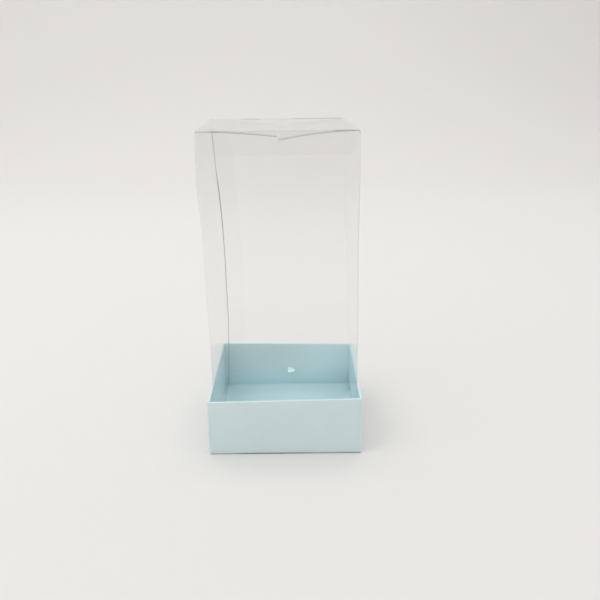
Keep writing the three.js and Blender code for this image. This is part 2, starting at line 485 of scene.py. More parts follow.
def card_material(name, settings):
    """Pale blue card: mottled, fibrous and rubbed paler at creases, with painted light and shade
    inside, on the rim and at the foot.
    """
    recipe = Recipe(name)
    x, y, height = recipe.axes()
    twist = settings.twist / (HALF_TRAY ** 2 * RIM_TOP)
    z = height / (1 - x * y * twist)
    mottle = recipe.noise(22 * MM, detail=2.0)
    fibre = recipe.noise(0.5 * MM, detail=5.0)
    strand = recipe.noise(0.9 * MM, stretch=(4, 4, 1), detail=2.0)
    tone = mottle * 0.55 + fibre * 0.25 + strand * 0.2
    face = recipe.mix(tone, shade(settings.card_colour, 0.93), shade(settings.card_colour, 1.06))
    # Inside the tray the card takes the lining's colour, which holds painted light and shade.
    lining = recipe.mix(tone, shade(settings.lining_lit_colour, 0.94), shade(settings.lining_lit_colour, 1.05))

    # Near the tray's floor the lining is darker: painted shade.
    on_floor = 1 - z.between(4.5 * MM, 5.5 * MM)
    lining = recipe.mix(on_floor * 0.45, lining, shade(settings.lining_lit_colour, 0.85))
    # The back liner is paler higher up and to the right. This stands in for light that falls there.
    on_back = y.between(HALF_TRAY - 3 * MM, HALF_TRAY - 2 * MM)
    mottle_and_painted_light = mottle * 0.1 + on_back * z.between(7 * MM, 18 * MM) * 0.9
    to_the_right = x.between(-10 * MM, 32 * MM)
    pale = recipe.mix(to_the_right, rgba(settings.card_colour), shade(settings.card_colour, 1.16))
    lining = recipe.mix(mottle_and_painted_light, lining, pale)
    depth = HALF_TRAY - abs(x).math("MAXIMUM", abs(y))
    below_rim = 1 - z.between(RIM_TOP - 0.6 * MM, RIM_TOP)
    inside = depth.between(0.8 * MM, 1.3 * MM) * below_rim * z.between(0.1 * MM, 0.3 * MM)
    face = recipe.mix(inside, face, lining)

    # A dark line along the walls' outer foot, its strength changing along x: a painted contact shadow.
    outside = 1 - depth.between(0.4 * MM, 0.8 * MM)
    shadow_along_x = x.between(-36 * MM, -18 * MM) * 0.45 - x.between(8 * MM, 18 * MM) * 0.2
    painted_foot_shadow = outside * (1 - z.between(0.35 * MM, 1.15 * MM)) * (shadow_along_x + 0.45)
    face = recipe.mix(painted_foot_shadow, face, shade(settings.lining_lit_colour, 0.2))

    # Paler at the upright corners as wear, and paler along the rim as wear and a painted highlight.
    at_rim = z.between(RIM_TOP - 0.7 * MM, RIM_TOP - 0.1 * MM)
    at_corner = (abs(x) + abs(y)).between(2 * HALF_TRAY - 0.9 * MM, 2 * HALF_TRAY - 0.1 * MM)
    worn_and_highlit = at_rim.math("MAXIMUM", at_corner) * fibre.between(0.2, 0.6) * 0.75
    colour = recipe.mix(worn_and_highlit, face, rgba(settings.core_colour))
    normal = recipe.bump(fibre * 0.7 + strand * 0.3, 0.035 * MM)
    return recipe.finish(recipe.surface(colour, 0.5 + fibre * 0.16 + worn_and_highlit * 0.1, Normal=normal))


def card_edge_material(name, settings):
    """The card's cut edge: its fibrous core, a little paler than its face."""
    recipe = Recipe(name)
    fibre = recipe.noise(0.25 * MM, stretch=(3, 3, 1), detail=4.0)
    colour = recipe.mix(fibre, shade(settings.core_colour, 0.85), rgba(settings.core_colour))
    normal = recipe.bump(fibre, 0.05 * MM)
    return recipe.finish(recipe.surface(colour, 0.7 + fibre * 0.2, Normal=normal))


def scrap_material(name, settings):
    """The scrap's finish: it gleams, because it mirrors the light from above."""
    recipe = Recipe(name)
    crumple = recipe.noise(0.8 * MM)
    colour = recipe.mix(crumple, shade(settings.scrap_colour, 0.94), rgba(settings.scrap_colour))
    normal = recipe.bump(crumple, 0.05 * MM)
    return recipe.finish(recipe.surface(colour, 0.25 + crumple * 0.15, Metallic=0.95, Normal=normal))


# Film

def film_material(name, settings, gloss):
    """Clear film: it mirrors more towards grazing, with faint rolling streaks and smears."""
    recipe = Recipe(name)
    x, y, z = recipe.axes()
    facing = recipe.add("ShaderNodeLayerWeight", {}, output="Facing", Blend=0.5)
    streak = recipe.noise(0.7 * MM, stretch=(1, 1, 60), detail=2.0).between(0.55, 0.8)
    smear = recipe.noise(24 * MM, stretch=(1, 1, 1.6)).between(0.45, 0.75)
    ripple = recipe.noise(6 * MM, detail=2.0)
    haze = settings.haze + smear * 0.008 + streak * 0.006 + facing ** 4 * 0.04
    mirror = 0.028 + facing ** 5 * 0.3
    # Between 70 and 165 mm high the film mirrors a darker grey, most where it faces the view: a
    # painted dark reflection.
    painted_dark_reflection = z.between(70 * MM, 165 * MM) * (1 - facing)
    # The dust flaps' front ends mirror a darker grey: a painted dark reflection.
    curl = painted_flap_end_mask(x, y, z)
    tone = recipe.mix(painted_dark_reflection, (0.94, 0.95, 0.95, 1.0), grey(0.42))
    tone = recipe.mix(curl, tone, grey(0.2))
    share = (haze + mirror) * gloss + curl * 0.07
    roughness = 0.05 + smear * 0.05 + streak * 0.06
    shine = recipe.surface(tone, roughness, Metallic=0.7, Normal=recipe.bump(ripple, 0.03 * MM))
    return recipe.finish(recipe.see_through(share, grey(settings.clearness), shine))


def painted_flap_end_mask(x, y, z):
    """The front ends of the dust flaps, where the film mirrors a darker grey as a painted dark
    reflection.
    """
    from_crease = 1 - abs(x).between(35 * MM, 37 * MM)
    from_edge = y.between(-37.6 * MM, -37.4 * MM) * (1 - y.between(-35 * MM, -26 * MM))
    under_lid = z.within(172 * MM, 177.42 * MM, 0.03 * MM)
    return from_crease * from_edge * under_lid


def crease_material(name):
    """A crease in the film: strained grey and cloudy, most of all along the glued seam, and with
    painted light and shade along its length.
    """
    recipe = Recipe(name)
    x, y, z = recipe.axes()
    strain = recipe.noise(1.2 * MM, stretch=(1, 1, 3))
    patch = recipe.noise(26 * MM, detail=1.0).between(0.35, 0.65)
    at_back = y.between(20 * MM, 30 * MM)
    on_top = z.between(176 * MM, 177 * MM)
    upright = 1 - z.between(168 * MM, 174 * MM)
    seam = (1 - x.between(-30 * MM, -20 * MM)) * at_back * upright
    # How strongly the seam shows changes with height: painted light and shade over the seam's own dark
    # joint.
    strength = 0.3 + z.between(60 * MM, 130 * MM) * 0.27 - z.between(133 * MM, 150 * MM) * 0.34
    strength = strength + z.between(157 * MM, 166 * MM) * 0.1
    # The front right crease is darker below about 150 mm: painted shade.
    right_corner = x.between(20 * MM, 30 * MM) * (1 - at_back) * (1 - z.between(145 * MM, 155 * MM))
    # The lid's back crease shows only along two stretches, where light lets it: painted light and
    # shade.
    dashes = x.within(-24 * MM, -14 * MM, 2 * MM) + x.within(6 * MM, 34 * MM, 2 * MM)
    lid_crease = y.within(36 * MM, 42 * MM, 2 * MM) * on_top
    # The lid's front crease is faint in its middle and darker towards its ends and over a stretch at x
    # 27 to 30 mm.
    at_front = 1 - y.between(-38 * MM, -36 * MM)
    towards_ends = abs(x).between(20 * MM, 32 * MM) * x.between(-37 * MM, -31 * MM)
    darker_stretch = x.within(27.2 * MM, 29.8 * MM, 0.5 * MM)
    share = 0.01 + strain * 0.012 + patch * 0.012 + seam * strength + right_corner * 0.055
    share = share + dashes * lid_crease * 0.3
    share = share + at_front * on_top * (0.02 + towards_ends * 0.14 + darker_stretch * 0.17)
    tone = recipe.mix(strain, grey(0.2), grey(0.34))
    surface = recipe.surface(tone, 0.18 + strain * 0.12, Metallic=0.3)
    return recipe.finish(recipe.see_through(share, grey(0.99), surface))


def film_edge_material(name):
    """The film's cut edge, which looks grey because light leaves the sheet there."""
    recipe = Recipe(name)
    y = recipe.axes()[1]
    nibble = recipe.noise(1.5 * MM)
    patch = recipe.noise(14 * MM, detail=1.0).between(0.35, 0.65)
    at_front = 1 - y.between(-34 * MM, -28 * MM)
    share = 0.06 + nibble * 0.06 + patch * 0.06 + at_front * (0.4 + patch * 0.25)
    tone = recipe.mix(nibble, grey(0.25), grey(0.5))
    surface = recipe.surface(tone, 0.25 + nibble * 0.2, Metallic=0.2)
    return recipe.finish(recipe.see_through(share, grey(0.98), surface))


def paper_material(name, settings):
    """The backdrop's matt paper, very slightly clouded, with painted shade darkening the wall to the
    right.
    """
    recipe = Recipe(name)
    x, y = recipe.axes()[:2]
    grain = recipe.noise(1.2 * MM)
    cloud = recipe.noise(300 * MM, detail=2.0)
    tone = grain * 0.3 + cloud * 0.7
    paper = recipe.mix(tone, shade(settings.paper_colour, 0.99), shade(settings.paper_colour, 1.01))
    # The back wall is darker, most towards the right: painted shade.
    painted_wall_shade = y.between(0.9, 1.5) * (x.between(0, 0.9) * 0.5 + 0.5)
    paper = recipe.mix(painted_wall_shade, paper, shade(settings.paper_colour, 0.91))
    gloss = {"Specular IOR Level": 0.3}
    return recipe.finish(recipe.surface(paper, 0.75 + grain * 0.1, **gloss))


def once(maker, name, *details):
    """A material by name, made the first time that it is asked for."""
    return bpy.data.materials.get(name) or maker(name, *details)


def card_finishes(context):
    """The card's face, its cut edge, and the scrap that lies on it."""
    settings = context.scene.gift_box_tray
    return (
        once(card_material, "pale_blue_card", settings),
        once(card_edge_material, "card_cut_edge", settings),
        once(scrap_material, "glossy_scrap", settings),
    )


def film_finishes(context, tucked=False):
    """The film's face, its creases and its cut edge. Flaps that lie against other film are duller."""
    settings = context.scene.gift_box_cover
    if tucked:
        face = once(film_material, "tucked_film", settings, settings.tucked_gloss)
    else:
        face = once(film_material, "clear_film", settings, 1.0)
    return (
        face,
        once(crease_material, "film_crease"),
        once(film_edge_material, "film_cut_edge"),
    )


# Modelling helpers

def deselect_all():
    """Leaves edit mode, and leaves nothing selected."""
    if bpy.context.mode != "OBJECT":
        bpy.ops.object.mode_set(mode="OBJECT")
    bpy.ops.object.select_all(action="DESELECT")


def make_active(piece):
    """Selects one piece alone."""
    deselect_all()
    piece.select_set(True)
    bpy.context.view_layer.objects.active = piece


def near(value, target, slack=0.02 * MM):
    """Whether two lengths are the same but for rounding."""
    return abs(value - target) < slack


class Editing:
    """Edit mode on one piece. Points, edges and faces are picked by a test on their place."""

    def __init__(self, piece):
        self.piece = piece

    def __enter__(self):
        make_active(self.piece)
        bpy.ops.object.mode_set(mode="EDIT")
        return self

    def __exit__(self, *error):
        bpy.ops.object.mode_set(mode="OBJECT")

    def pick(self, kind, test):
        """Selects the points, edges or faces that pass a test."""
        bpy.ops.mesh.select_mode(type=kind)
        bpy.ops.mesh.select_all(action="DESELECT")
        mesh = bmesh.from_edit_mesh(self.piece.data)
        parts = {"VERT": mesh.verts, "EDGE": mesh.edges, "FACE": mesh.faces}[kind]
        for part in parts:
            if test(part):
                part.select_set(True)
        mesh.select_flush_mode()
        bmesh.update_edit_mesh(self.piece.data)

    def points(self, test):
        """Picks points by their place."""
        self.pick("VERT", lambda point: test(point.co))

    def edges(self, test):
        """Picks edges by the places of both their ends."""
        self.pick("EDGE", lambda edge: all(test(point.co) for point in edge.verts))

    def edges_along(self, test):
        """Picks edges by the way they run."""
        self.pick("EDGE", lambda edge: test(edge.verts[1].co - edge.verts[0].co))

    def faces(self, test):
        """Picks faces by their middle and their normal."""
        self.pick("FACE", lambda face: test(face.calc_center_median(), face.normal))

    def extrude(self, run):
        """Draws the picked edges out into a new strip."""
        bpy.ops.mesh.extrude_region_move(TRANSFORM_OT_translate={"value": run})

    def round_edges(self, radius, segments):
        """Rounds the picked edges."""
        bpy.ops.mesh.bevel(offset=radius, segments=segments, affect="EDGES")

    def round_points(self, radius, segments):
        """Rounds a flat sheet's picked corners."""
        bpy.ops.mesh.bevel(offset=radius, segments=segments, affect="VERTICES")

    def slice(self, normal, low, high, count):
        """Cuts the whole sheet across into count equal strips between two places along normal."""
        for i in range(1, count):
            place = Vector(normal) * (low + (high - low) * i / count)
            bpy.ops.mesh.select_mode(type="FACE")
            bpy.ops.mesh.select_all(action="SELECT")
            bpy.ops.mesh.bisect(plane_co=place, plane_no=normal)

    def paint(self, slot):
        """Gives the picked faces one of the piece's materials."""
        self.piece.active_material_index = slot
        bpy.ops.object.material_slot_assign()


def flat_sheet(name, low, high, tilt=0.0):
    """A rectangle from low to high in its own plane: lying, or stood up by a quarter turn."""
    deselect_all()
    centre = (Vector(low) + Vector(high)) / 2
    size = Vector(high) - Vector(low)
    bpy.ops.mesh.primitive_plane_add(size=1, location=centre, rotation=(tilt, 0, 0))
    sheet = bpy.context.active_object
    sheet.name = name
    sheet.data.name = name
    sheet.scale = (size.x, size.z if tilt else size.y, 1)
    bpy.ops.object.transform_apply(location=True, rotation=True, scale=True)
    return sheet


def standing_sheet(name, low, high):
    """A rectangle that stands upright, facing the front."""
    return flat_sheet(name, low, high, math.pi / 2)


def give_materials(piece, finishes):
    """Gives a piece its material slots."""
    for finish in finishes:
        piece.data.materials.append(finish)


def add_and_apply(piece, kind, **settings):
    """Adds a modifier, sets it and applies it."""
    make_active(piece)
    modifier = piece.modifiers.new(kind.lower(), kind)
    for key, value in settings.items():
        setattr(modifier, key, value)
    bpy.ops.object.modifier_apply(modifier=modifier.name)


def thicken(piece, thickness, offset=0, edge_slot=0):
    """Gives a sheet its thickness, about its middle or to one side, and its cut edges a finish."""
    add_and_apply(
        piece,
        "SOLIDIFY",
        thickness=thickness,
        offset=offset,
        use_even_offset=True,
        material_offset_rim=edge_slot,
    )


def soften(piece):
    """Takes the sharpness off the card's cut edges."""
    add_and_apply(
        piece,
        "BEVEL",
        width=CARD_EDGE_ROUND,
        segments=2,
        limit_method="ANGLE",
        angle_limit=math.radians(50),
    )


def wander(piece, across, depth, size):
    """Moves the sheet a little to and fro across its plane, as a sheet that isn't quite flat."""
    texture = bpy.data.textures.get("wander") or bpy.data.textures.new("wander", "CLOUDS")
    texture.noise_scale = size
    texture.noise_depth = 1
    add_and_apply(
        piece,
        "DISPLACE",
        texture=texture,
        texture_coords="GLOBAL",
        direction=across,
        strength=depth,
        mid_level=0.5,
    )


def reshape(piece, low, high, counts, shift_at):
    """Moves a piece by a lattice over a box, each of its points shifted as shift_at says."""
    deselect_all()
    low = Vector(low)
    size = Vector(high) - low
    bpy.ops.object.add(type="LATTICE", location=low + size / 2)
    lattice = bpy.context.active_object
    lattice.scale = size
    for axis, count in zip("uvw", counts):
        setattr(lattice.data, f"points_{axis}", count)
        smooth = "KEY_CATMULL_ROM" if count > 2 else "KEY_LINEAR"
        setattr(lattice.data, f"interpolation_type_{axis}", smooth)
    for point in lattice.data.points:
        share = point.co + Vector((0.5, 0.5, 0.5))
        shift = Vector(shift_at(share))
        point.co_deform = point.co + Vector(s / d for s, d in zip(shift, size))
    bpy.context.view_layer.update()
    add_and_apply(piece, "LATTICE", object=lattice)
    spare = lattice.data
    bpy.data.objects.remove(lattice)
    bpy.data.lattices.remove(spare)


def join(piece, other):
    """Makes another piece part of this one."""
    make_active(piece)
    other.select_set(True)
    bpy.ops.object.join()


def smooth_folds(piece):
    """Shades the folds and bends smoothly and leaves the cut edges sharp."""
    make_active(piece)
    bpy.ops.object.shade_smooth_by_angle(angle=math.radians(35))


def turn(piece, degrees):
    """Turns a piece about the upright axis through the origin."""
    make_active(piece)
    piece.rotation_euler.z = math.radians(degrees)
    bpy.ops.object.transform_apply(location=False, rotation=True, scale=False)


# Card tray

def settle_on_tray(piece, node, settings):
    """Twists a piece with the rest of the tray, and lets it stand for its node."""

    def twist(share):
        corner = (2 * share.x - 1) * (2 * share.y - 1)
        return (0, 0, -settings.twist * corner * share.z)

    box_low = (-HALF_TRAY, -HALF_TRAY, 0)
    box_high = (HALF_TRAY, HALF_TRAY, RIM_TOP)
    reshape(piece, box_low, box_high, (2, 2, 2), twist)
    smooth_folds(piece)
    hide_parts(node)
    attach(piece, "tray")


def fold_wall(side, settings, finishes):
    """An outer wall, folded up from the floor."""
    half = HALF_TRAY if side.traps_ears else HALF_TRAY - CARD
    middle = -(HALF_TRAY - CARD / 2)
    foot = CARD / 2
    wall = standing_sheet(f"{side.name}_wall_card", (-half, middle, foot), (half, middle, WALL_TOP))
    with Editing(wall) as edit:
        edit.slice((1, 0, 0), -half, half, WALL_STRIPS)
        edit.slice((0, 0, 1), foot, WALL_TOP, WALL_ROWS)
        edit.edges(lambda place: near(place.z, foot))
        edit.extrude((0, WALL_FOOT_RUN, 0))
        edit.edges(lambda place: near(place.z, foot) and near(place.y, middle))
        edit.round_edges(CARD_FOLD, CARD_FOLD_STEPS)
    give_materials(wall, finishes)
    thicken(wall, CARD, edge_slot=CARD_EDGE)
    soften(wall)
    turn(wall, side.turn)
    wander(wall, side.across, settings.waviness, CARD_WAVE)
    settle_on_tray(wall, f"{side.name}_wall", settings)


def fold_liner(side, settings, finishes):
    """The rim and the wall turned down inside it, with mitred ends."""
    middle = -(HALF_TRAY - RIM_WIDTH + CARD / 2)
    rim = RIM_TOP - CARD / 2
    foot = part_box(f"{side.name}_liner")[0].z
    run = HALF_TRAY + middle
    outer_half = HALF_TRAY - MITRE_RELIEF
    half = outer_half - run
    liner = standing_sheet(f"{side.name}_liner_card", (-half, middle, foot), (half, middle, rim))
    with Editing(liner) as edit:
        edit.slice((1, 0, 0), -half, half, WALL_STRIPS)
        edit.slice((0, 0, 1), foot, rim, WALL_ROWS)
        edit.edges(lambda place: near(place.z, rim))
        edit.extrude((0, -run, 0))
        bpy.ops.transform.resize(value=(outer_half / half, 1, 1))
        edit.edges(lambda place: near(place.z, rim) and near(place.y, middle))
        edit.round_edges(CARD_FOLD, CARD_FOLD_STEPS)
    give_materials(liner, finishes)
    thicken(liner, CARD, edge_slot=CARD_EDGE)
    with Editing(liner) as edit:
        edit.faces(lambda place, normal: near(place.y, -HALF_TRAY))
        edit.paint(CARD_FACE)
        edit.edges(lambda place: near(place.z, RIM_TOP) and near(place.y, -HALF_TRAY))
        edit.round_edges(RIM_ROUND, CARD_FOLD_STEPS)
    soften(liner)
    turn(liner, side.turn)
    wander(liner, side.across, settings.waviness, CARD_WAVE)
    if side.name == "back":
        join(liner, curled_scrap(finishes))
    settle_on_tray(liner, f"{side.name}_liner", settings)


def curled_scrap(finishes):
    """A small scrap on the back liner, which curls out from the liner's face towards its foot."""
    face = HALF_TRAY - RIM_WIDTH
    left, foot = SCRAP_LOW
    right, top = SCRAP_HIGH
    scrap = standing_sheet("curled_scrap", (left, face, foot), (right, face, top))
    with Editing(scrap) as edit:
        edit.slice((1, 0, 0), left, right, 2)
        edit.points(lambda place: near(place.x, right))
        bpy.ops.transform.resize(value=(1, 1, SCRAP_TAIL_SHARE))
        bpy.ops.transform.translate(value=(0, 0, -SCRAP_TAIL_DROP))
        edit.slice((1, 0, 0), left, right, 6)
        edit.slice((0, 0, 1), foot, top, 6)

    def curl(share):
        return (0, -SCRAP_STAND_OUT * (1 - share.z) ** SCRAP_CURL, 0)

    reshape(scrap, (left, face - CARD, foot), (right, face + CARD, top), (2, 2, 5), curl)
    give_materials(scrap, finishes)
    with Editing(scrap) as edit:
        edit.faces(lambda place, normal: True)
        edit.paint(CARD_SCRAP)
    thicken(scrap, SCRAP_THICKNESS)
    return scrap


def fold_foot_flap(side, settings, finishes):
    """The liner's foot, creased inwards and sloping down until its free edge lies on the floor."""
    node = f"{side.name}_foot_flap"
    low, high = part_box(node)
    along, out = (1, 0) if side.traps_ears else (0, 1)
    half = (high[along] - low[along]) / 2
    tip_half = SIDE_FLAP_TIP / 2 if side.traps_ears else half - END_FLAP_DRAW
    root = -(HALF_TRAY - RIM_WIDTH + CARD / 2)
    tip = root + high[out] - low[out]
    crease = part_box(f"{side.name}_liner")[0].z - CARD
    rest = 1.5 * CARD + FLAP_REST
    flap = flat_sheet(f"{node}_card", (-half, root, crease), (half, tip, crease))
    with Editing(flap) as edit:
        edit.points(lambda place: near(place.y, tip))
        bpy.ops.transform.resize(value=(tip_half / half, 1, 1))
        edit.slice((1, 0, 0), -half, half, 16)
        edit.slice((0, 1, 0), root, tip, 8)

    def slope(share):
        bulge = 4 * share.y * (1 - share.y) * settings.flap_lift
        return (0, 0, (rest - crease) * share.y + bulge)

    box_low = (-half, root, crease - CARD)
    box_high = (half, tip, crease + CARD)
    reshape(flap, box_low, box_high, (2, 5, 2), slope)
    with Editing(flap) as edit:
        edit.edges(lambda place: near(place.y, root))
        edit.extrude((0, 0, CARD))
        edit.edges(lambda place: near(place.y, root) and near(place.z, crease))
        edit.round_edges(CARD_FOLD, 3)
    give_materials(flap, finishes)
    thicken(flap, CARD, edge_slot=CARD_EDGE)
    soften(flap)
    turn(flap, side.turn)
    settle_on_tray(flap, node, settings)


def fold_ear(node, settings, finishes):
    """A corner ear that lies flat behind a side wall, its free end sloped at top and bottom."""
    low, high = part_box(node)
    middle = -(low.x + high.x) / 2
    tip = high.y if node.startswith("front") else low.y
    end_share = 1 - 2 * EAR_END_DROP / (high.z - low.z)
    ear = standing_sheet(f"{node}_card", (low.y, middle, low.z), (high.y, middle, high.z))
    with Editing(ear) as edit:
        edit.points(lambda place: near(place.x, tip))
        bpy.ops.transform.resize(value=(1, 1, end_share))
        edit.slice((1, 0, 0), low.y, high.y, 6)
    give_materials(ear, finishes)
    thicken(ear, CARD, edge_slot=CARD_EDGE)
    soften(ear)
    turn(ear, 90)
    settle_on_tray(ear, node, settings)


# Film cover

def bow_with_the_tube(piece):
    """Bows a piece of the cover as the whole tube of film leans and bows."""

    def bow(share):
        side = "left" if share.x < 0.5 else "right"
        end = "front" if share.y < 0.5 else "back"
        levels = BOW_LEVELS[side, end]
        level = round(share.z * (len(levels) - 1))
        return (levels[level] * MM, 0, 0)

    low = (-HALF_COVER, -HALF_COVER, 0)
    high = (HALF_COVER, HALF_COVER, BOX_TOP)
    reshape(piece, low, high, (2, 2, len(BOW_LEVELS["left", "front"])), bow)


def settle_on_cover(node):
    """Lets a piece of film stand for its node."""
    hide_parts(node)


def fold_tube(settings):
    """The four sides of the cover as one folded tube, its corners rounded."""
    deselect_all()
    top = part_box("cover_front_panel")[1].z
    bpy.ops.mesh.primitive_cube_add(size=1, location=(0, 0, (COVER_FOOT + top) / 2))
    tube = bpy.context.active_object
    tube.name = "cover_front_film"
    tube.scale = (2 * HALF_COVER, 2 * HALF_COVER, top - COVER_FOOT)
    bpy.ops.object.transform_apply(location=True, rotation=True, scale=True)
    radius = settings.crease_radius
    with Editing(tube) as edit:
        edit.faces(lambda place, normal: abs(normal.z) > 0.5)
        bpy.ops.mesh.delete(type="FACE")
        edit.edges_along(lambda run: abs(run.z) > radius)
        edit.round_edges(radius, FILM_FOLD_STEPS)
        edit.edges_along(lambda run: abs(run.z) > radius)
        bpy.ops.mesh.subdivide(number_cuts=TUBE_CUTS_UP)
        edit.edges_along(lambda run: run.xy.length > 2 * radius)
        bpy.ops.mesh.subdivide(number_cuts=TUBE_CUTS_ACROSS)
    return tube


def part_panel(tube, name, facing):
    """Parts the faces that point as facing asks from the tube, as a panel of its own."""
    with Editing(tube) as edit:
        edit.faces(lambda place, normal: facing(normal))
        bpy.ops.mesh.separate(type="SELECTED")
    panel = next(piece for piece in bpy.context.selected_objects if piece is not tube)
    panel.name = name
    panel.data.name = name
    return panel


def finish_panel(panel, node, across, settings, finishes):
    """Gives a side its height, thickness, finishes, bow and waviness."""
    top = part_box(node)[1].z
    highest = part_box("cover_front_panel")[1].z
    give_materials(panel, finishes)
    with Editing(panel) as edit:
        edit.points(lambda place: near(place.z, highest))
        bpy.ops.transform.translate(value=(0, 0, top - highest))
        edit.faces(lambda place, normal: max(abs(normal.x), abs(normal.y)) < FLAT_SIDE)
        edit.paint(FILM_CREASE)
    thicken(panel, FILM, offset=-1)
    with Editing(panel) as edit:
        edit.faces(lambda place, normal: normal.z < -CUT_EDGE)
        edit.paint(FILM_EDGE)
    smooth_folds(panel)
    bow_with_the_tube(panel)
    wander(panel, across, settings.waviness, FILM_WAVE)
    settle_on_cover(node)
    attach(panel, "cover")


# Operators

class TrayWalls(bpy.types.Operator):
    """Fold up the four outer walls of the tray"""

    bl_idname = "gift_box.tray_walls"
    bl_label = "Tray walls"

    def execute(self, context):
        for side in SIDES:
            fold_wall(side, context.scene.gift_box_tray, card_finishes(context))
        return {"FINISHED"}


class TrayLiners(bpy.types.Operator):
    """Fold the rim over and the four liners down inside the tray"""

    bl_idname = "gift_box.tray_liners"
    bl_label = "Rim and liners"

    def execute(self, context):
        for side in SIDES:
            fold_liner(side, context.scene.gift_box_tray, card_finishes(context))
        return {"FINISHED"}


class FootFlaps(bpy.types.Operator):
    """Crease the liners' feet inwards onto the tray's floor"""

    bl_idname = "gift_box.foot_flaps"
    bl_label = "Foot flaps"

    def execute(self, context):
        for side in SIDES:
            fold_foot_flap(side, context.scene.gift_box_tray, card_finishes(context))
        return {"FINISHED"}


class Ears(bpy.types.Operator):
    """Fold the four corner ears in behind the side walls"""

    bl_idname = "gift_box.ears"
    bl_label = "Ears"

    def execute(self, context):
        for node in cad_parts:
            if node.endswith("_ear"):
                fold_ear(node, context.scene.gift_box_tray, card_finishes(context))
        return {"FINISHED"}


class Floor(bpy.types.Operator):
    """Finish the tray's floor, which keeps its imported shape"""

    bl_idname = "gift_box.floor"
    bl_label = "Floor"

    def execute(self, context):
        face = card_finishes(context)[CARD_FACE]
        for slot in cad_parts["tray_floor"].material_slots:
            slot.material = face
        return {"FINISHED"}


class FilmPanels(bpy.types.Operator):
    """Fold the cover's four sides from one tube of film"""

    bl_idname = "gift_box.film_panels"
    bl_label = "Film sides"

    def execute(self, context):
        settings = context.scene.gift_box_cover
        finishes = film_finishes(context)
        tube = fold_tube(settings)
        right = part_panel(tube, "cover_right_film", lambda normal: normal.x > FLAT_SIDE)
        left = part_panel(tube, "cover_left_film", lambda normal: normal.x < -FLAT_SIDE)
        back = part_panel(tube, "cover_back_film", lambda normal: normal.y > 0)
        finish_panel(right, "cover_right_panel", "X", settings, finishes)
        finish_panel(left, "cover_left_panel", "X", settings, finishes)
        finish_panel(back, "cover_back_panel", "Y", settings, finishes)
        finish_panel(tube, "cover_front_panel", "Y", settings, finishes)
        return {"FINISHED"}


class GlueFlap(bpy.types.Operator):
    """Lay the glued seam's flap inside the back left corner"""

    bl_idname = "gift_box.glue_flap"
    bl_label = "Glue flap"

    def execute(self, context):
        settings = context.scene.gift_box_cover
        low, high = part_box("cover_glue_flap")
        middle = (low.y + high.y) / 2 - GLUE_FLAP_INSET
        shorter = 1 - 2 * GLUE_FLAP_TAPER / (high.z - low.z)
        flap = standing_sheet(
            "cover_glue_flap_film", (low.x, middle, low.z), (high.x, middle, high.z)
        )
        with Editing(flap) as edit:
            edit.points(lambda place: near(place.x, high.x))
            bpy.ops.transform.resize(value=(1, 1, shorter))
            edit.slice((1, 0, 0), low.x, high.x, 3)
            edit.slice((0, 0, 1), low.z, high.z, 30)
        give_materials(flap, film_finishes(context, tucked=True))
        thicken(flap, FILM, edge_slot=FILM_EDGE)
        bow_with_the_tube(flap)
        wander(flap, "Y", settings.waviness, FILM_WAVE)
        settle_on_cover("cover_glue_flap")
        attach(flap, "cover")
        return {"FINISHED"}


class Lid(bpy.types.Operator):
    """Crease the lid to the back panel and lay it over the top"""

    bl_idname = "gift_box.lid"
    bl_label = "Lid"

    def execute(self, context):
        low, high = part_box("lid_panel")
        level = (low.z + high.z) / 2
        hinge = HALF_COVER - FILM / 2
        back_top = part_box("cover_back_panel")[1].z
        front = low.y + CREASE_RUN
        crease_start = hinge - CREASE_RUN - PAINT_SLACK
        lid = flat_sheet("lid_film", (low.x, front, level), (high.x, hinge, level))
        give_materials(lid, film_finishes(context))
        with Editing(lid) as edit:
            edit.slice((1, 0, 0), low.x, high.x, LID_STRIPS)
            edit.slice((0, 1, 0), front, hinge, LID_STRIPS)
            edit.edges(lambda place: near(place.y, hinge))
            edit.extrude((0, 0, back_top - level))
            edit.edges(lambda place: near(place.y, hinge) and near(place.z, level))
            edit.round_edges(CREASE_RUN, FILM_FOLD_STEPS)
            edit.faces(lambda place, normal: place.y > crease_start)
            edit.paint(FILM_CREASE)
        thicken(lid, FILM)
        with Editing(lid) as edit:
            edit.faces(lambda place, normal: abs(normal.x) > CUT_EDGE)
            edit.paint(FILM_EDGE)
        smooth_folds(lid)
        self.sag(lid, low, high, context.scene.gift_box_cover.lid_sag)
        bow_with_the_tube(lid)
        settle_on_cover("lid_panel")
        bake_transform(lid)
        return {"FINISHED"}

    def sag(self, lid, low, high, depth):
        """Lets the middle of the lid sink a little, with its four edges left straight."""

        def sink(share):
            middle = 16 * share.x * (1 - share.x) * share.y * (1 - share.y)
            return (0, 0, -depth * middle)

        spread = Vector((0, 0, FILM))
        reshape(lid, low - spread, high + spread, (7, 7, 2), sink)


